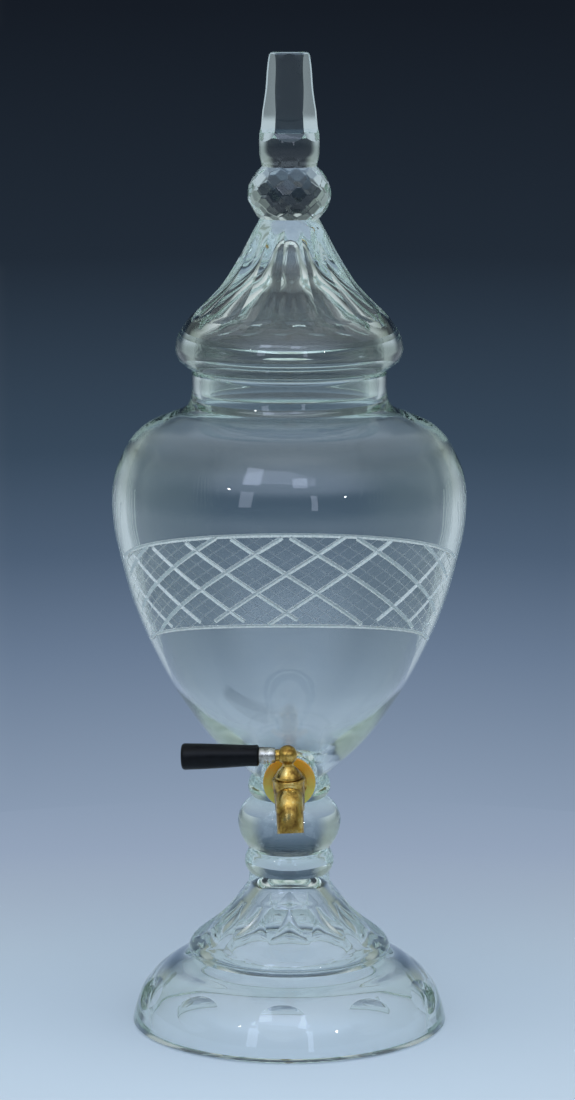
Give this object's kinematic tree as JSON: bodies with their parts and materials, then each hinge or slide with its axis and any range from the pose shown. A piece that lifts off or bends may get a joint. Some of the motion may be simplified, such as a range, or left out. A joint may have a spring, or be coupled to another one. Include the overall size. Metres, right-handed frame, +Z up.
{
  "type": "spirit dispenser",
  "caption": "Footed cut glass urn for spirits, with a lift-off faceted spire lid and a brass plug cock turned by a black lever handle.",
  "frame": {"origin": "centre of the circle on which the foot stands, at the surface below", "axes": "+Z up the urn, -Y to the front where the tap looks, +X to the right seen from the front"},
  "size_m": [0.2168, 0.2168, 0.5996],
  "materials": {
    "cut_glass": "clear polished glass with a faint green cast, cuts polished",
    "brass": "turned and polished, with brown patina in the hollows",
    "amber_rubber": "smooth translucent amber",
    "pale_rubber": "smooth pale yellow",
    "nickel": "turned nickel plate",
    "steel": "plain turned rod",
    "black_phenolic": "turned near black resin with a soft sheen"
  },
  "bodies": {
    "vessel": {"foot_dome": "cut_glass", "foot_bell": "cut_glass", "stem_merese": "cut_glass", "stem_knop": "cut_glass", "bowl": "cut_glass", "seat_washer": "amber_rubber", "inner_washer": "pale_rubber", "nut_washer": "brass", "lock_nut": "brass", "tap_body": "brass", "tap_spout": "brass"},
    "lid": {"lid_cover": "cut_glass", "finial_ball": "cut_glass", "finial_spire": "cut_glass"},
    "tap_key": {"tap_plug": "brass", "plug_washer": "brass", "plug_screw": "brass", "lever_stud": "steel", "lever_ferrule": "nickel", "lever_handle": "black_phenolic"}
  },
  "joints": [
    {"name": "lid_lift", "type": "slide", "parent": "vessel", "child": "lid", "axis": [0, 0, 1], "range_m": [0, 0.12]},
    {"name": "tap_turn", "type": "hinge", "parent": "vessel", "child": "tap_key", "pos_m": [0, -0.06942, 0.15905], "axis": [-0.0436, -0.0871, 0.9952], "range_deg": [-20, 210]}
  ]
}
